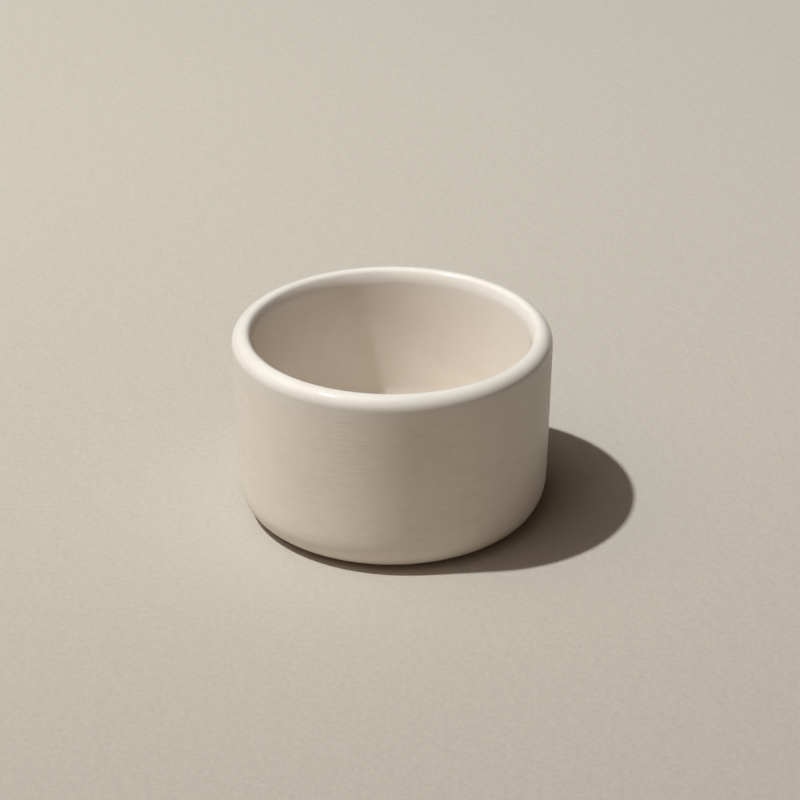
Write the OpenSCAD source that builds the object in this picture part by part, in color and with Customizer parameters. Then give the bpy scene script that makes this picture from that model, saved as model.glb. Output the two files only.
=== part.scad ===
// A thrown stoneware shaving bowl: a fired clay body under two layers of glaze.
// The table is z = 0 and the bowl turns about the z axis. All sizes are in millimetres.

/* [Bowl] */
// Outside diameter at the widest part of the rim
rim_diameter = 95; // [70:0.5:150]
// Height from the table to the top of the rim
bowl_height = 57.5; // [45:0.5:110]
// How much the outside radius draws in from the rim down to the lower edge
wall_draw_in = 0.7; // [0:0.1:4]
// Radius of the rounded lower edge outside
lower_edge_radius = 9.5; // [5:0.1:12]

/* [Wall and floor] */
// Thickness of the finished wall just above the inside corner, glaze included
low_wall = 7.1; // [4.5:0.1:10]
// Thickness of the finished floor above the recess, glaze included
floor_thickness = 4.7; // [3.5:0.1:10]
// Radius of the round corner between the inside wall and the floor
inside_corner_radius = 12; // [6:0.1:18]

/* [Rim] */
// Radius of the outer round of the rim
rim_outer_round = 3.7; // [2:0.1:4.6]
// Radius of the tight round off the crest on the inner side
rim_inner_round = 1.9; // [1:0.1:3]
// Radius of the slow roll that carries the tight round down to the inside wall
rim_roll = 7.5; // [5:0.5:10]
// How far the rim has turned down from level where the roll takes over, in degrees
rim_roll_start = 60; // [45:5:75]

/* [Foot] */
// How far the foot ring is set in from the outside of the wall
foot_inset = 7.5; // [5:0.1:12]
// Height of the foot ring, up to the underside turned round it
foot_height = 1; // [0.8:0.1:3]
// Width of the foot ring from its outside to the recess
foot_width = 4; // [3:0.1:8]
// How far the recess inside the ring is turned on up, past the height of the ring
recess_rise = 1.3; // [0.2:0.1:3]
// Bevel on the two edges of the foot ring that meet the table
foot_bevel = 0.5; // [0.2:0.1:1]

/* [Glaze] */
// Thickness of each glaze layer
glaze_thickness = 0.5; // [0.3:0.05:0.7]
// How far the inside glaze laps down over the outside of the rim
rim_lap = 4.6; // [4.6:0.1:12]
// Height of the bare clay left between the foot ring and the outside glaze
bare_band = 0.3; // [0.2:0.1:3]

/* [Hidden] */
$fn = 180;

// Rim: both rounds share the level line over the crest
rim_radius = rim_diameter / 2;
crest_radius = rim_radius - rim_outer_round;
rim_outer_centre = [crest_radius, bowl_height - rim_outer_round];
rim_inner_centre = [crest_radius, bowl_height - rim_inner_round];
roll_direction = [-sin(rim_roll_start), cos(rim_roll_start)];
rim_roll_centre = rim_inner_centre - (rim_roll - rim_inner_round) * roll_direction;

// Lower edge outside: its round would just meet the table if the foot weren't turned
low_radius = rim_radius - wall_draw_in;
lower_edge_centre = [low_radius - lower_edge_radius, lower_edge_radius];

// Inside corner
recess_top = foot_height + recess_rise;
floor_top = recess_top + floor_thickness;
inside_corner_centre = [low_radius - low_wall - inside_corner_radius, floor_top + inside_corner_radius];

// Foot ring
foot_radius = low_radius - foot_inset;
recess_radius = foot_radius - foot_width;

// Heights at which the outside glaze starts, and at which it meets the inside glaze
glaze_start = foot_height + bare_band;
glaze_join = bowl_height - rim_lap;

// How far a cutting or joining outline runs past what it cuts or joins
spare = 1;

// Direction of the normal to the straight line that touches two circles.
// "reach" is the sum of the radii where the line crosses between them, or the
// lower radius less the upper one where both are on the same side of it.
function tangent_normal(low, high, reach) =
    let (step = high - low, angle = atan2(step.y, step.x) - acos(reach / norm(step)))
    [cos(angle), sin(angle)];

outside_normal = tangent_normal(lower_edge_centre, rim_outer_centre, lower_edge_radius - rim_outer_round);
inside_normal = tangent_normal(
    inside_corner_centre, rim_roll_centre, inside_corner_radius + rim_roll);

// The part of a round between two directions less than a half turn apart
module sector(centre, radius, first, last) {
    intersection() {
        translate(centre) circle(r = radius);
        polygon([centre, centre + 2 * radius * first, centre + 2 * radius * last]);
    }
}

// Half section of the bowl as if it were solid, with its outside drawn in by "inset"
module solid_section(inset) {
    edge = lower_edge_radius - inset;
    round = rim_outer_round - inset;
    polygon([
        [0, lower_edge_centre.y - edge],
        [lower_edge_centre.x, lower_edge_centre.y - edge],
        lower_edge_centre + edge * outside_normal,
        rim_outer_centre + round * outside_normal,
        [crest_radius, rim_outer_centre.y + round],
        [0, rim_outer_centre.y + round]
    ]);
    translate(lower_edge_centre) circle(r = edge);
    translate(rim_outer_centre) circle(r = round);
}

// Half section of the space inside the bowl, made larger all round by "outset"
module hollow_section(outset) {
    corner = inside_corner_radius + outset;
    round = rim_inner_round - outset;
    roll = rim_roll - outset;
    // The outline turns at the ends of each round, so the rounds only swell it between them
    difference() {
        union() {
            polygon([
                [0, inside_corner_centre.y - corner],
                [inside_corner_centre.x, inside_corner_centre.y - corner],
                inside_corner_centre + corner * inside_normal,
                rim_roll_centre - roll * inside_normal,
                rim_inner_centre + round * roll_direction,
                rim_inner_centre + [0, round / 2],
                [crest_radius, bowl_height + spare],
                [0, bowl_height + spare]
            ]);
            translate(inside_corner_centre) circle(r = corner);
        }
        sector(rim_inner_centre, round, [1, 1], roll_direction);
        sector(rim_roll_centre, roll, roll_direction, -inside_normal);
    }
}

// Half section of the clay that is turned away round the foot
module undercut_section() {
    square([rim_radius, foot_height]);
}

// Half section of the foot as if it were solid, run up into the clay above it
module foot_section() {
    polygon([
        [0, 0],
        [foot_radius - foot_bevel, 0],
        [foot_radius, foot_bevel],
        [foot_radius, lower_edge_centre.y],
        [0, lower_edge_centre.y]
    ]);
}

// Half section of the recess that leaves the foot as a ring
module recess_section() {
    polygon([
        [0, -spare],
        [recess_radius + foot_bevel + spare, -spare],
        [recess_radius, foot_bevel],
        [recess_radius, recess_top],
        [0, recess_top]
    ]);
}

// Fired clay: wall, floor, rim and foot ring in one piece
module stoneware_body() {
    color("tan") rotate_extrude() difference() {
        union() {
            difference() {
                solid_section(glaze_thickness);
                undercut_section();
            }
            foot_section();
        }
        hollow_section(glaze_thickness);
        recess_section();
    }
}

// Gloss glaze over the floor, the inside wall and the rim
module inside_glaze() {
    color("ivory") rotate_extrude() {
        difference() {
            hollow_section(glaze_thickness);
            hollow_section(0);
        }
        difference() {
            solid_section(0);
            solid_section(glaze_thickness);
            square([crest_radius, bowl_height + spare]);
            square([rim_radius + spare, glaze_join]);
        }
    }
}

// Satin glaze down the outside wall and round the lower edge
module outside_glaze() {
    color("linen") rotate_extrude() difference() {
        solid_section(0);
        solid_section(glaze_thickness);
        foot_section();
        square([rim_radius + spare, glaze_start]);
        translate([0, glaze_join]) square([rim_radius + spare, rim_lap + spare]);
    }
}

stoneware_body();
inside_glaze();
outside_glaze();
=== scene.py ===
import math

import bmesh
import bpy
from bpy.props import FloatProperty, FloatVectorProperty, IntProperty, PointerProperty
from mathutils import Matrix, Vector


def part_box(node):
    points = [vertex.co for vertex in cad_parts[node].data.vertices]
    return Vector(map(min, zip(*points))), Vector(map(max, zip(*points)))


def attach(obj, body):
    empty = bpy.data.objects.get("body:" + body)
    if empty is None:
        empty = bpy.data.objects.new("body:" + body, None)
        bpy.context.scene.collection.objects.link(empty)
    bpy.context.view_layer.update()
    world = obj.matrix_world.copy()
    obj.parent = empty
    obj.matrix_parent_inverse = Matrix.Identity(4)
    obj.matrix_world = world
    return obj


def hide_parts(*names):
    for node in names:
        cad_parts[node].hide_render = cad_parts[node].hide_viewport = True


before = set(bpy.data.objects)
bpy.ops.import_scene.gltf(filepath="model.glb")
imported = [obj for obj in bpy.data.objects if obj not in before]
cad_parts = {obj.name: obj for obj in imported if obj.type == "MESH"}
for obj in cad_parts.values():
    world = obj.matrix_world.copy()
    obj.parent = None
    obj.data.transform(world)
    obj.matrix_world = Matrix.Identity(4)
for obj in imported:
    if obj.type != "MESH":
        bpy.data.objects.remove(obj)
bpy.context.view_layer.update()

bl_info = {
    "name": "Shaving Bowl",
    "version": (1, 0, 0),
    "blender": (4, 5, 0),
    "location": "View3D > Sidebar > Shaving Bowl",
    "description": "Turns a stoneware shaving bowl with its two coats of glaze",
    "category": "Add Mesh",
}

MM = 0.001
CLAY_LOW, CLAY_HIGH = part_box("stoneware_body")
LINING_LOW, LINING_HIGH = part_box("inside_glaze")
COAT_LOW, COAT_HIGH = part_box("outside_glaze")


def length(name, description, default, **more):
    """A size in metres that the sidebar shows in the scene's units."""
    return FloatProperty(
        name=name, description=description, default=default, unit="LENGTH", precision=5, **more)


def share(name, description, default):
    """A number from 0 to 1."""
    return FloatProperty(name=name, description=description, default=default, min=0.0, max=1.0)


def angle(name, description, degrees):
    """An angle, shown in degrees."""
    return FloatProperty(
        name=name, description=description, default=math.radians(degrees), subtype="ANGLE")


def colour(name, description, default):
    """A linear colour."""
    return FloatVectorProperty(
        name=name, description=description, default=default, subtype="COLOR", size=3, min=0.0, max=1.0)


# ---------------------------------------------------------------- what a user would change

class BowlSizes(bpy.types.PropertyGroup):
    """Sizes of the section that is turned; the overall ones come from the frame."""

    rim_radius: length("Rim radius", "Outside radius at the widest part of the rim", LINING_HIGH.x)
    height: length("Height", "From the table to the top of the rim", LINING_HIGH.z)
    glaze: length("Glaze", "Thickness of each coat of glaze", LINING_HIGH.z - CLAY_HIGH.z)
    floor_top: length(
        "Floor top", "Height of the glazed floor inside", LINING_LOW.z + LINING_HIGH.z - CLAY_HIGH.z)
    glaze_join: length("Glaze join", "Height at which the two glazes meet", COAT_HIGH.z)
    glaze_start: length("Glaze start", "Height at which the outside glaze begins", COAT_LOW.z)
    draw_in: length("Draw-in", "How far the wall draws in from the rim to the lower edge", 0.7 * MM)
    lower_edge: length("Lower edge", "Radius of the rounded lower edge", 9.5 * MM)
    low_wall: length("Low wall", "Thickness of the wall above the inside corner", 7.1 * MM)
    rim_round: length("Rim round", "Radius of the outer round of the rim", 3.7 * MM)
    rim_inner: length("Inner round", "Radius of the tight round off the crest inside", 1.9 * MM)
    rim_roll: length("Rim roll", "Radius of the slow roll down to the inside wall", 7.5 * MM)
    roll_start: angle("Roll start", "How far the rim has turned where the roll takes over", 60.0)
    corner: length("Inside corner", "Radius between the inside wall and the floor", 12.0 * MM)
    foot_inset: length("Foot inset", "How far the foot ring stands in from the wall", 7.5 * MM)
    foot_width: length("Foot width", "Width of the foot ring", 4.0 * MM)
    foot_height: length("Foot height", "Height of the foot ring", 1.0 * MM)
    recess_top: length("Recess top", "Height of the recess inside the foot ring", 2.3 * MM)
    foot_bevel: length("Foot bevel", "Bevel on the edges that meet the table", 0.5 * MM)
    facets: IntProperty(name="Facets", description="Facets round the bowl", default=288, min=32, max=512)


class HandMarks(bpy.types.PropertyGroup):
    """What the thrower's hands leave in the shape."""

    out_of_round: length("Out of round", "How much the bowl is narrower across than along", 0.12 * MM)
    long_way: angle("Long way", "Direction in which the bowl is widest", 15.0)
    ring_depth: length("Ring depth", "Height of the throwing rings on the inside wall", 0.004 * MM)
    ring_pitch: length("Ring pitch", "Climb of the throwing rings in one turn", 2.7 * MM)


class GlazeLook(bpy.types.PropertyGroup):
    """Colours and finish of the glazes and of the bare clay."""

    cream: colour("Cream", "Colour of the gloss glaze on the inside wall", (0.72, 0.658, 0.592))
    # The crest colour is painted light: the cooler, more neutral tint that the key light gives the rim's
    # top
    crest: colour("Crest", "Colour of both glazes where they whiten up to the rim", (0.715, 0.68, 0.637))
    linen: colour("Linen", "Colour of the satin glaze on the outside wall", (0.755, 0.70, 0.625))
    thin: colour("Thin", "Colour where the clay shows through thin glaze", (0.62, 0.53, 0.44))
    speck: colour("Speck", "Colour of the iron specks and of the grog", (0.16, 0.10, 0.06))
    clay: colour("Clay", "Colour of the bare fired clay", (0.50, 0.36, 0.24))
    gloss: share("Gloss roughness", "Roughness of the gloss glaze", 0.08)
    satin: share("Satin roughness", "Roughness of the satin glaze", 0.42)


class StageLook(bpy.types.PropertyGroup):
    """Table, lights and camera."""

    table: colour("Table", "Colour of the painted table", (0.461, 0.421, 0.364))
    key_way: angle("Key way", "Direction of the key light round the bowl", 189.0)
    key_height: angle("Key height", "Height of the key light above the table", 64.7)
    key_distance: length("Key distance", "From the key light to the bowl", 3.1)
    key_radius: length("Key radius", "Radius of the key light's face", 0.048)
    key_power: FloatProperty(name="Key power", description="Power of the key light, W", default=518.0)
    halo_width: length("Halo width", "Width of the soft glow round the key light", 2.2)
    halo_power: FloatProperty(name="Halo power", description="Power of the soft glow, W", default=13.5)
    pool_radius: length("Pool radius", "Radius of the pool of key light on the table", 2.0)
    pool_back: length("Pool back", "How far behind the bowl the pool's middle lies", 0.92)
    fill_way: angle("Fill way", "Direction of the soft fill round the bowl", 251.0)
    fill_height: angle("Fill height", "Height of the soft fill above the table", 30.0)
    fill_distance: length("Fill distance", "From the soft fill and the glow to the bowl", 2.0)
    fill_width: length("Fill width", "Width of the soft fill's round face", 1.6)
    fill_power: FloatProperty(name="Fill power", description="Power of the soft fill, W", default=4.2)
    room_power: FloatProperty(
        name="Room power", description="Strength of the room's light", default=0.036)
    clear: colour("Clear", "Colour of the key light", (0.95, 1.0, 1.0))
    glow: colour("Glow", "Colour of the soft glow round the key light", (1.0, 0.89, 0.78))
    warm: colour("Warm", "Colour of the fill and the room", (1.0, 0.77, 0.57))
    eye_height: angle("Eye height", "How high the camera stands, seen from the bowl", 29.61)
    eye_distance: length("Eye distance", "From the camera to the middle of the foot", 709.7 * MM)
    lens: FloatProperty(name="Lens", description="Focal length on a 36 mm sensor", default=104.1)


# ---------------------------------------------------------------- the section of the bowl

# Steps that straight stretches are cut into, and turns in degrees
RUN_STEP = 2.0 * MM
SHOWN_WALL_STEP = 0.4 * MM
TURN_STEP = 5.0
# Points closer than this are one point
WELD = 0.002 * MM
# The lower edge is eased between these heights, on points this near the outside
EASE_LOW = 4.0 * MM
EASE_HIGH = 17.0 * MM
EASE_WITHIN = 4.0 * MM
EASE_STRENGTH = 0.5
EASE_PASSES = 12


class Run:
    """A straight stretch of the section, drawn as one edge and cut into equal steps."""

    def __init__(self, start, end, step=RUN_STEP):
        self.start, self.end, self.step = Vector(start), Vector(end), step

    def draw(self):
        across = self.end - self.start
        bpy.ops.mesh.extrude_region_move(
            TRANSFORM_OT_translate={"value": (across.x, 0, across.y)})
        cuts = round(across.length / self.step) - 1
        if cuts > 0:
            mesh = bmesh.from_edit_mesh(bpy.context.object.data)
            tip = next(vertex for vertex in mesh.verts if vertex.select)
            tip.link_edges[0].select_set(True)
            bpy.ops.mesh.subdivide(number_cuts=cuts)
            bpy.ops.mesh.select_all(action="DESELECT")
            end = Vector((self.end.x, 0, self.end.y))
            mesh = bmesh.from_edit_mesh(bpy.context.object.data)
            min(mesh.verts, key=lambda vertex: (vertex.co - end).length).select_set(True)
            bmesh.update_edit_mesh(bpy.context.object.data)

    def back(self):
        return Run(self.end, self.start, self.step)


class Turn:
    """A round stretch of the section about a centre, between two directions in degrees."""

    def __init__(self, centre, radius, first, last):
        self.centre, self.radius, self.first, self.last = Vector(centre), radius, first, last

    def at(self, degrees):
        return self.centre + self.radius * direction(degrees)

    @property
    def start(self):
        return self.at(self.first)

    @property
    def end(self):
        return self.at(self.last)

    def draw(self):
        sweep = self.last - self.first
        bpy.ops.mesh.spin(
            steps=max(1, round(abs(sweep) / TURN_STEP)), angle=math.radians(sweep),
            center=(self.centre.x, 0, self.centre.y), axis=(0, 1, 0))

    def back(self):
        return Turn(self.centre, self.radius, self.last, self.first)


def backwards(stretches):
    """The same stretches, drawn the other way."""
    return [stretch.back() for stretch in reversed(stretches)]


def direction(degrees):
    """A step of one metre across the section, turned up from straight out."""
    a = math.radians(degrees)
    return Vector((math.cos(a), math.sin(a)))


def touching_direction(low, high, reach):
    """Direction in degrees of the normal to the line that touches two rounds.

    "reach" is the sum of the radii where the line crosses between the rounds, or the lower
    radius less the upper one where both lie on the same side of it.
    """
    step = high - low
    return math.degrees(math.atan2(step.y, step.x) - math.acos(reach / step.length))


class Section:
    """The rounds and lines of the bowl's half section, X out from the axis and Y up."""

    def __init__(self, sizes):
        self.sizes = sizes
        crest = sizes.rim_radius - sizes.rim_round
        low = sizes.rim_radius - sizes.draw_in
        self.rim_outer = Vector((crest, sizes.height - sizes.rim_round))
        self.rim_inner = Vector((crest, sizes.height - sizes.rim_inner))
        self.roll_first = 90.0 + math.degrees(sizes.roll_start)
        self.roll = self.rim_inner - (sizes.rim_roll - sizes.rim_inner) * direction(self.roll_first)
        self.edge = Vector((low - sizes.lower_edge, sizes.lower_edge))
        self.corner = Vector((low - sizes.low_wall - sizes.corner, sizes.floor_top + sizes.corner))
        self.foot = low - sizes.foot_inset
        self.recess = self.foot - sizes.foot_width
        self.out = touching_direction(self.edge, self.rim_outer, sizes.lower_edge - sizes.rim_round)
        self.inn = touching_direction(self.corner, self.roll, sizes.corner + sizes.rim_roll)

    def lower_round(self, depth, height):
        """The lower edge from a height up to the wall, drawn "depth" under the surface."""
        radius = self.sizes.lower_edge - depth
        first = math.degrees(math.acos((self.edge.y - height) / radius)) - 90.0
        return Turn(self.edge, radius, first, self.out)

    def wall_point(self, depth, height):
        """The point of the outside wall at a height."""
        low = self.edge + (self.sizes.lower_edge - depth) * direction(self.out)
        high = self.rim_outer + (self.sizes.rim_round - depth) * direction(self.out)
        return low.lerp(high, (height - low.y) / (high.y - low.y))

    def rim_and_inside(self, depth, wall_step):
        """From the top of the outside wall over the rim and down to the middle of the floor."""
        sizes = self.sizes
        over = Turn(self.rim_outer, sizes.rim_round - depth, self.out, 90.0)
        into = Turn(self.rim_inner, sizes.rim_inner - depth, 90.0, self.roll_first)
        roll = Turn(self.roll, sizes.rim_roll - depth, self.roll_first, 180.0 + self.inn)
        bend = Turn(self.corner, sizes.corner + depth, self.inn, -90.0)
        return [
            over,
            into,
            roll,
            Run(roll.end, bend.start, wall_step),
            bend,
            Run(bend.end, (0, bend.end.y)),
        ]


# ---------------------------------------------------------------- turning and finishing

def ease_lower_edge():
    """Soften the outline where the lower round runs into the outside wall."""
    outline = bmesh.from_edit_mesh(bpy.context.object.data)
    for vertex in outline.verts:
        outside = vertex.co.x > LINING_HIGH.x - EASE_WITHIN
        vertex.select_set(outside and EASE_LOW < vertex.co.z < EASE_HIGH)
    bpy.ops.mesh.vertices_smooth(factor=EASE_STRENGTH, repeat=EASE_PASSES)


def turn_section(name, stretches, facets):
    """Draw a section stretch by stretch, screw it round the axis and weld it."""
    start = stretches[0].start
    bpy.ops.object.select_all(action="DESELECT")
    bpy.ops.mesh.primitive_plane_add(size=MM, location=(0, 0, 0))
    piece = bpy.context.object
    piece.name = piece.data.name = name
    bpy.ops.object.mode_set(mode="EDIT")
    bpy.ops.mesh.select_mode(type="VERT")
    bpy.ops.mesh.select_all(action="SELECT")
    bpy.ops.mesh.merge(type="CENTER")
    bpy.ops.transform.translate(value=(start.x, 0, start.y))
    for stretch in stretches:
        stretch.draw()
    ease_lower_edge()
    bpy.ops.object.mode_set(mode="OBJECT")
    bpy.ops.object.modifier_add(type="SCREW")
    lathe = piece.modifiers[-1]
    lathe.steps = lathe.render_steps = facets
    bpy.ops.object.modifier_apply(modifier=lathe.name)
    bpy.ops.object.mode_set(mode="EDIT")
    bpy.ops.mesh.select_all(action="SELECT")
    bpy.ops.mesh.remove_doubles(threshold=WELD)
    bpy.ops.mesh.normals_make_consistent(inside=False)
    bpy.ops.object.mode_set(mode="OBJECT")
    return piece


# The hand marks by height, as shares of the bowl's height: the bowl is true at the foot and
# fully out of round at OVAL_FROM, and the rings come in and go out between each pair
OVAL_FROM = 0.6
RINGS_IN = (0.35, 0.50)
RINGS_OUT = (0.92, 0.75)
# How far in from the rim's outside the rings begin to show, and show fully
RINGS_WITHIN = (4.0 * MM, 5.0 * MM)
# Faces that meet at less than this, in degrees, are shaded as one
SMOOTH_UNDER = 35.0


def fade(value, start, end):
    """0 at start and 1 at end, with no kink at either."""
    t = min(1.0, max(0.0, (value - start) / (end - start)))
    return t * t * (3 - 2 * t)


def hand_turned(point, sizes, marks):
    """Where the thrower's hands put a point of the perfect bowl."""
    radius = math.hypot(point.x, point.y)
    if radius < WELD:
        return point
    way = math.atan2(point.y, point.x)
    height = point.z / sizes.height
    narrow = math.sin(way - marks.long_way) ** 2 * radius / sizes.rim_radius
    moved = -marks.out_of_round * narrow * fade(height, 0.0, OVAL_FROM)
    inside_wall = fade(radius, *(sizes.rim_radius - within for within in RINGS_WITHIN))
    band = fade(height, *RINGS_IN) * fade(height, *RINGS_OUT)
    climb = math.tau * point.z / marks.ring_pitch - way
    moved += marks.ring_depth * inside_wall * band * math.sin(climb)
    grown = (radius + moved) / radius
    return Vector((point.x * grown, point.y * grown, point.z))


def finish_piece(piece, material, node):
    """Set the hand marks, the smoothing, the finish and the frame's facts of a piece."""
    sizes, marks = bpy.context.scene.bowl_sizes, bpy.context.scene.hand_marks
    for vertex in piece.data.vertices:
        vertex.co = hand_turned(vertex.co, sizes, marks)
    bpy.ops.object.select_all(action="DESELECT")
    piece.select_set(True)
    bpy.context.view_layer.objects.active = piece
    bpy.ops.object.shade_smooth_by_angle(angle=math.radians(SMOOTH_UNDER))
    piece.data.materials.clear()
    piece.data.materials.append(material)
    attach(piece, "root")
    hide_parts(node)


# ---------------------------------------------------------------- finishes

# Where the Mix node keeps its colours
MIX_FIRST, MIX_SECOND, MIX_RESULT = 6, 7, 2

GLAZE_IOR = 1.52
# Heights between which each glaze turns to the crest colour, painted light: the cooler, more neutral
# tint of the key light on the rim's top
LINING_RIM_LIGHT = (49.0 * MM, 55.0 * MM)
COAT_RIM_LIGHT = (47.0 * MM, 56.0 * MM)
# Cells whose random value is past these hold a speck, and how far a speck's edge reaches
SPECK_CHOSEN = (0.70, 0.72)
SPECK_EDGE = (0.045, 0.022)
SPECK_STRENGTH = 0.7
# How much rougher and smoother than its middle value each glaze gets
GLOSS_SPREAD = 0.015
SATIN_SPREAD = 0.05
# The lap under the rim's outside starts satin at the join and is glossy this far above it,
# on what lies within these depths of the outside
LAP_CLEARS = 2.4 * MM
LAP_WITHIN = (2.0 * MM, 1.0 * MM)
# The turning streaks fade over this height below the join, to this share of their strength
STREAKS_FADE = 4.0 * MM
STREAKS_LEFT = 0.3
# How much lighter the clay gets in patches, and how much darker the paint gets
CLAY_LIGHTER = 1.35
PAINT_DARKER = 0.92


class Finish:
    """A material under construction: short calls that add and link its nodes."""

    def __init__(self, name):
        self.material = bpy.data.materials.new(name)
        self.material.use_nodes = True
        self.tree = self.material.node_tree
        self.shader = self.tree.nodes["Principled BSDF"]
        self.place = self.add("ShaderNodeTexCoord").outputs["Object"]

    def add(self, kind, **settings):
        node = self.tree.nodes.new(kind)
        for key, value in settings.items():
            setattr(node, key, value)
        return node

    def feed(self, socket, value):
        """Link an output to a socket, or set the socket to a plain value."""
        if isinstance(value, bpy.types.NodeSocket):
            self.tree.links.new(value, socket)
        elif socket.type == "RGBA":
            socket.default_value = (*value, 1.0)
        else:
            socket.default_value = value

    def stretched(self, scale):
        """Object coordinates with each axis scaled."""
        node = self.add("ShaderNodeMapping")
        self.feed(node.inputs["Vector"], self.place)
        self.feed(node.inputs["Scale"], scale)
        return node.outputs["Vector"]

    def noise(self, scale, detail=3.0, roughness=0.5, stretch=None):
        """Soft cloudy noise, with its pattern squeezed along each axis by the stretch."""
        node = self.add("ShaderNodeTexNoise")
        self.feed(node.inputs["Vector"], self.stretched(stretch) if stretch else self.place)
        self.feed(node.inputs["Scale"], scale)
        self.feed(node.inputs["Detail"], detail)
        self.feed(node.inputs["Roughness"], roughness)
        return node.outputs["Fac"]

    def dots(self, scale):
        """Scattered points: how far the nearest is, and a random colour for each."""
        node = self.add("ShaderNodeTexVoronoi")
        self.feed(node.inputs["Vector"], self.place)
        self.feed(node.inputs["Scale"], scale)
        return node

    def remap(self, value, low, high, to_low=0.0, to_high=1.0):
        """Carry the range low to high onto another, with soft ends."""
        node = self.add("ShaderNodeMapRange", interpolation_type="SMOOTHSTEP")
        for socket, number in zip(node.inputs, (value, low, high, to_low, to_high)):
            self.feed(socket, number)
        return node.outputs["Result"]

    def maths(self, operation, first, second):
        """Two values put through a sum, such as ADD or MULTIPLY."""
        node = self.add("ShaderNodeMath", operation=operation)
        self.feed(node.inputs[0], first)
        self.feed(node.inputs[1], second)
        return node.outputs[0]

    def blend(self, amount, first, second):
        """The first colour, with as much of the second as the amount says."""
        node = self.add("ShaderNodeMix", data_type="RGBA")
        self.feed(node.inputs["Factor"], amount)
        self.feed(node.inputs[MIX_FIRST], first)
        self.feed(node.inputs[MIX_SECOND], second)
        return node.outputs[MIX_RESULT]

    def height(self):
        """Height above the table."""
        node = self.add("ShaderNodeSeparateXYZ")
        self.feed(node.inputs[0], self.place)
        return node.outputs["Z"]

    def radius(self):
        """Distance from the bowl's axis."""
        node = self.add("ShaderNodeVectorMath", operation="LENGTH")
        self.feed(node.inputs[0], self.stretched((1.0, 1.0, 0.0)))
        return node.outputs["Value"]

    def bump(self, height, distance, under=None):
        """Fine relief of the given depth, over another relief if there is one."""
        node = self.add("ShaderNodeBump")
        self.feed(node.inputs["Height"], height)
        self.feed(node.inputs["Distance"], distance)
        if under:
            self.feed(node.inputs["Normal"], under)
        return node.outputs["Normal"]

    def set(self, **sockets):
        """Feed the shader's sockets and return the finished material."""
        for name, value in sockets.items():
            self.feed(self.shader.inputs[name.replace("_", " ")], value)
        return self.material


def glaze_colour(finish, look, wall, streaks, rim_light_heights):
    """Cream glaze with soft clouds, thin streaks and a few iron specks.

    Between the heights it is given, it turns from the colour of the wall to the crest colour, which is
    painted light: the cooler, more neutral tint of the key light on the rim's top.
    """
    # Painted light: towards the rim the wall's colour turns to the crest tint of the lit rim
    rim_light_share = finish.remap(finish.height(), *rim_light_heights)
    thick_glaze_and_rim_light = finish.blend(rim_light_share, tuple(wall), tuple(look.crest))
    clouds = finish.remap(finish.noise(scale=38.0, detail=4.0, roughness=0.55), 0.35, 0.75, to_high=0.22)
    mottle = finish.remap(finish.noise(scale=420.0, detail=4.0, roughness=0.65), 0.35, 0.7, to_high=0.13)
    thin = finish.maths("ADD", finish.maths("ADD", clouds, streaks), mottle)
    base = finish.blend(thin, thick_glaze_and_rim_light, tuple(look.thin))
    cells = finish.dots(scale=95.0)
    chosen = finish.remap(cells.outputs["Color"], *SPECK_CHOSEN)
    spots = finish.remap(cells.outputs["Distance"], *SPECK_EDGE)
    specks = finish.maths("MULTIPLY", chosen, finish.maths("MULTIPLY", spots, SPECK_STRENGTH))
    return finish.blend(specks, base, tuple(look.speck))


def gloss_glaze(look):
    """Clear-surfaced cream glaze of the inside and the rim."""
    finish = Finish("gloss_glaze")
    streak = finish.noise(scale=60.0, stretch=(1.0, 1.0, 6.0))
    streaks = finish.remap(streak, 0.45, 0.8, to_high=0.10)
    polish = finish.remap(
        finish.noise(scale=120.0), 0.3, 0.7, look.gloss - GLOSS_SPREAD, look.gloss + GLOSS_SPREAD)
    outside = finish.remap(finish.radius(), *(LINING_HIGH.x - within for within in LAP_WITHIN))
    lap = finish.remap(
        finish.height(), COAT_HIGH.z, COAT_HIGH.z + LAP_CLEARS, look.satin, look.gloss)
    ripple = finish.noise(scale=240.0, detail=2.0)
    return finish.set(
        Base_Color=glaze_colour(finish, look, look.cream, streaks, LINING_RIM_LIGHT),
        Roughness=finish.maths("MAXIMUM", polish, finish.maths("MULTIPLY", outside, lap)),
        Normal=finish.bump(ripple, 0.02 * MM),
        IOR=GLAZE_IOR,
    )


def satin_glaze(look):
    """Satin cream glaze of the outside, with level streaks from turning."""
    finish = Finish("satin_glaze")
    streak = finish.noise(scale=105.0, detail=6.0, roughness=0.62, stretch=(1.0, 1.0, 13.0))
    fading = finish.remap(
        finish.height(), COAT_HIGH.z - STREAKS_FADE, COAT_HIGH.z, 1.0, STREAKS_LEFT)
    streaks = finish.maths("MULTIPLY", finish.remap(streak, 0.42, 0.70, to_high=0.27), fading)
    grain = finish.noise(scale=900.0, detail=2.0)
    return finish.set(
        Base_Color=glaze_colour(finish, look, look.linen, streaks, COAT_RIM_LIGHT),
        Roughness=finish.remap(streak, 0.3, 0.7, look.satin + SATIN_SPREAD, look.satin - SATIN_SPREAD),
        Normal=finish.bump(grain, 0.01 * MM, under=finish.bump(streak, 0.05 * MM)),
        IOR=GLAZE_IOR,
    )


def bare_stoneware(look):
    """Unglazed fired clay, lighter in patches, with grog in it."""
    finish = Finish("bare_stoneware")
    patches = finish.noise(scale=70.0, detail=4.0, roughness=0.6)
    grog = finish.remap(finish.dots(scale=900.0).outputs["Distance"], 0.35, 0.15, to_high=0.5)
    grit = finish.noise(scale=1400.0, detail=4.0, roughness=0.6)
    lighter = tuple(min(1.0, c * CLAY_LIGHTER) for c in look.clay)
    clay = finish.blend(finish.remap(patches, 0.3, 0.7), tuple(look.clay), lighter)
    return finish.set(
        Base_Color=finish.blend(grog, clay, tuple(look.speck)),
        Roughness=finish.remap(patches, 0.2, 0.8, 0.78, 0.92),
        Normal=finish.bump(grit, 0.08 * MM),
    )


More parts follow.
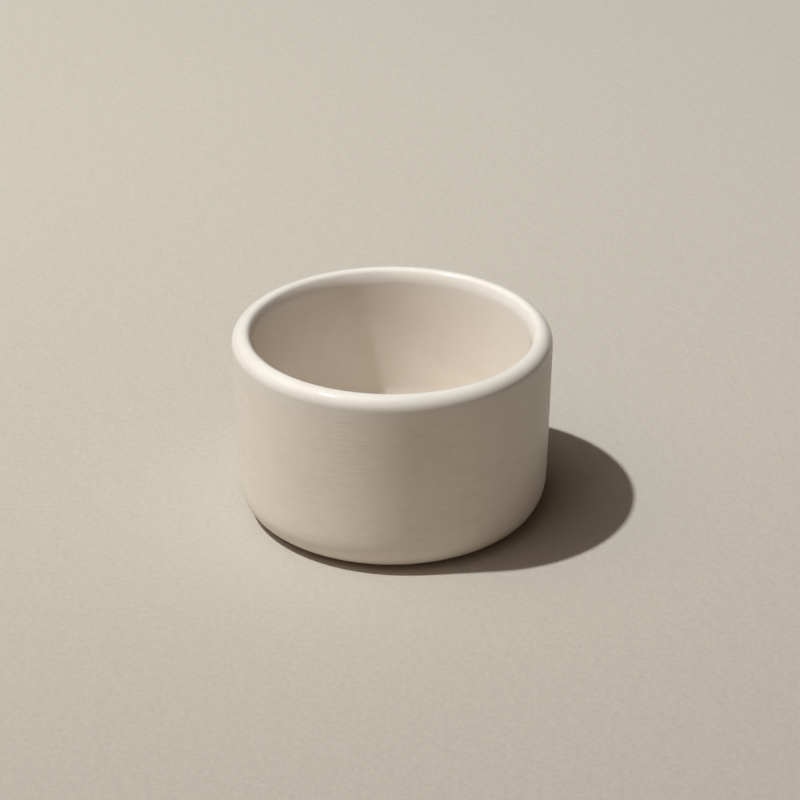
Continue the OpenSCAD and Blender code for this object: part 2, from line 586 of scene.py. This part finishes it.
def painted_table(look):
    """Matt warm paint over fine plaster."""
    finish = Finish("painted_table")
    patches = finish.remap(finish.noise(scale=3.0, detail=2.0), 0.3, 0.7, to_high=0.2)
    plaster = finish.noise(scale=170.0, detail=5.0, roughness=0.6)
    grain = finish.noise(scale=620.0, detail=5.0, roughness=0.7)
    shade = finish.maths("ADD", patches, finish.remap(grain, 0.35, 0.65, to_high=0.8))
    darker = tuple(c * PAINT_DARKER for c in look.table)
    return finish.set(
        Base_Color=finish.blend(shade, tuple(look.table), darker),
        Roughness=finish.remap(plaster, 0.3, 0.7, 0.62, 0.72),
        Normal=finish.bump(grain, 0.08 * MM, under=finish.bump(plaster, 0.3 * MM)),
        Specular_IOR_Level=0.3,
    )


# ---------------------------------------------------------------- stage

TABLE_WIDTH = 8.0
# The point of the bowl that the camera is aimed at, and the side that it stands on
AIM = Vector((2.3 * MM, 0, 33.4 * MM))
FRONT = math.radians(-90.0)
# In the camera's own millimetres
SENSOR_WIDTH = 36.0


def towards(way, height):
    """A step of one metre in a direction round the bowl and above the table."""
    level = math.cos(height)
    return Vector((level * math.cos(way), level * math.sin(way), math.sin(height)))


def round_light(name, place, width, power, tint):
    """A round soft light aimed at the bowl's foot."""
    bpy.ops.object.light_add(type="AREA", location=place)
    lamp = bpy.context.object
    lamp.name = name
    lamp.rotation_euler = place.to_track_quat("Z", "Y").to_euler()
    lamp.data.shape = "DISK"
    lamp.data.size = width
    lamp.data.energy = power
    lamp.data.color = tint


def set_table(look):
    """Lay a wide painted table under the bowl."""
    bpy.ops.object.select_all(action="DESELECT")
    bpy.ops.mesh.primitive_plane_add(size=TABLE_WIDTH, location=(0, 0, 0))
    table = bpy.context.object
    table.name = table.data.name = "table"
    table.data.materials.append(painted_table(look))


def set_lights(scene, look):
    """Light the bowl with a key in a soft glow, a fill and the room."""
    to_key, to_fill = towards(look.key_way, look.key_height), towards(look.fill_way, look.fill_height)
    lamp = to_key * look.key_distance
    beam = Vector((0, look.pool_back, 0)) - lamp
    bpy.ops.object.light_add(type="SPOT", location=lamp)
    key = bpy.context.object
    key.name = "key_light"
    key.rotation_euler = beam.to_track_quat("-Z", "Y").to_euler()
    key.data.energy = look.key_power
    key.data.color = look.clear
    key.data.shadow_soft_size = look.key_radius
    key.data.spot_size = 2 * math.atan(look.pool_radius / beam.length)
    key.data.spot_blend = 1.0
    round_light("key_glow", to_key * look.fill_distance, look.halo_width, look.halo_power, look.glow)
    round_light("soft_fill", to_fill * look.fill_distance, look.fill_width, look.fill_power, look.warm)
    scene.world = bpy.data.worlds.new("room")
    scene.world.use_nodes = True
    room = scene.world.node_tree.nodes["Background"]
    room.inputs["Color"].default_value = (*look.warm, 1.0)
    room.inputs["Strength"].default_value = look.room_power


def set_camera(scene, look):
    """Stand the camera in front of the bowl and aim it."""
    eye = towards(FRONT, look.eye_height) * look.eye_distance
    bpy.ops.object.camera_add(location=eye)
    camera = bpy.context.object
    camera.name = "camera"
    camera.rotation_euler = (AIM - eye).to_track_quat("-Z", "Y").to_euler()
    camera.data.sensor_width = SENSOR_WIDTH
    camera.data.lens = look.lens
    scene.camera = camera


# ---------------------------------------------------------------- operators

class BOWL_OT_clay(bpy.types.Operator):
    """Turn the fired clay body: wall, floor, rim and foot ring"""

    bl_idname = "bowl.clay"
    bl_label = "Clay body"
    bl_options = {"REGISTER", "UNDO"}

    def execute(self, context):
        sizes = context.scene.bowl_sizes
        section = Section(sizes)
        depth = sizes.glaze
        lower = section.lower_round(depth, sizes.foot_height)
        inside = section.rim_and_inside(depth, RUN_STEP)
        outline = [
            (0, sizes.recess_top),
            (section.recess, sizes.recess_top),
            (section.recess, sizes.foot_bevel),
            (section.recess + sizes.foot_bevel, 0),
            (section.foot - sizes.foot_bevel, 0),
            (section.foot, sizes.foot_bevel),
            (section.foot, sizes.foot_height),
            tuple(lower.start),
        ]
        under = [Run(a, b) for a, b in zip(outline, outline[1:])]
        wall = Run(lower.end, inside[0].start)
        piece = turn_section("thrown_clay", [*under, lower, wall, *inside], sizes.facets)
        clay = bare_stoneware(context.scene.glaze_look)
        finish_piece(piece, clay, "stoneware_body")
        return {"FINISHED"}


class BOWL_OT_lining(bpy.types.Operator):
    """Pour the gloss glaze over the floor, the inside wall and the rim"""

    bl_idname = "bowl.lining"
    bl_label = "Gloss lining"
    bl_options = {"REGISTER", "UNDO"}

    def execute(self, context):
        sizes = context.scene.bowl_sizes
        section = Section(sizes)
        shown = section.rim_and_inside(0.0, SHOWN_WALL_STEP)
        buried = section.rim_and_inside(sizes.glaze, RUN_STEP)
        top, under = (section.wall_point(depth, sizes.glaze_join) for depth in (0.0, sizes.glaze))
        stretches = [
            *backwards(shown),
            Run(shown[0].start, top),
            Run(top, under),
            Run(under, buried[0].start),
            *buried,
        ]
        piece = turn_section("gloss_lining", stretches, sizes.facets)
        glaze = gloss_glaze(context.scene.glaze_look)
        finish_piece(piece, glaze, "inside_glaze")
        return {"FINISHED"}


class BOWL_OT_coat(bpy.types.Operator):
    """Dip the outside wall and the lower edge in satin glaze"""

    bl_idname = "bowl.coat"
    bl_label = "Satin coat"
    bl_options = {"REGISTER", "UNDO"}

    def execute(self, context):
        sizes = context.scene.bowl_sizes
        section = Section(sizes)
        shown = section.lower_round(0.0, sizes.glaze_start)
        buried = section.lower_round(sizes.glaze, sizes.glaze_start)
        top, under = (section.wall_point(depth, sizes.glaze_join) for depth in (0.0, sizes.glaze))
        stretches = [
            shown,
            Run(shown.end, top),
            Run(top, under),
            Run(under, buried.end),
            buried.back(),
            Run(buried.start, shown.start),
        ]
        piece = turn_section("satin_coat", stretches, sizes.facets)
        glaze = satin_glaze(context.scene.glaze_look)
        finish_piece(piece, glaze, "outside_glaze")
        return {"FINISHED"}


class BOWL_OT_stage(bpy.types.Operator):
    """Set the table, the lights and the camera"""

    bl_idname = "bowl.stage"
    bl_label = "Stage"
    bl_options = {"REGISTER", "UNDO"}

    def execute(self, context):
        scene, look = context.scene, context.scene.stage_look
        set_table(look)
        set_lights(scene, look)
        set_camera(scene, look)
        scene.view_settings.view_transform = "Standard"
        return {"FINISHED"}


class BOWL_PT_sidebar(bpy.types.Panel):
    """Lists the steps and the sizes of the bowl"""

    bl_idname = "BOWL_PT_sidebar"
    bl_label = "Shaving Bowl"
    bl_space_type = "VIEW_3D"
    bl_region_type = "UI"
    bl_category = "Shaving Bowl"

    def draw(self, context):
        for step in STEPS:
            self.layout.operator(step.bl_idname)
        for name in GROUPS:
            group = getattr(context.scene, name)
            box = self.layout.box()
            for prop in group.bl_rna.properties:
                if prop.identifier in group.__annotations__:
                    box.prop(group, prop.identifier)


STEPS = (BOWL_OT_clay, BOWL_OT_lining, BOWL_OT_coat, BOWL_OT_stage)
GROUPS = {
    "bowl_sizes": BowlSizes,
    "hand_marks": HandMarks,
    "glaze_look": GlazeLook,
    "stage_look": StageLook,
}


def register():
    for cls in (*GROUPS.values(), *STEPS, BOWL_PT_sidebar):
        bpy.utils.register_class(cls)
    for name, group in GROUPS.items():
        setattr(bpy.types.Scene, name, PointerProperty(type=group))


def unregister():
    for name in GROUPS:
        delattr(bpy.types.Scene, name)
    for cls in (BOWL_PT_sidebar, *reversed(STEPS), *GROUPS.values()):
        bpy.utils.unregister_class(cls)


def main():
    register()
    bpy.ops.bowl.clay()
    bpy.ops.bowl.lining()
    bpy.ops.bowl.coat()
    bpy.ops.bowl.stage()


if __name__ == "__main__":
    main()
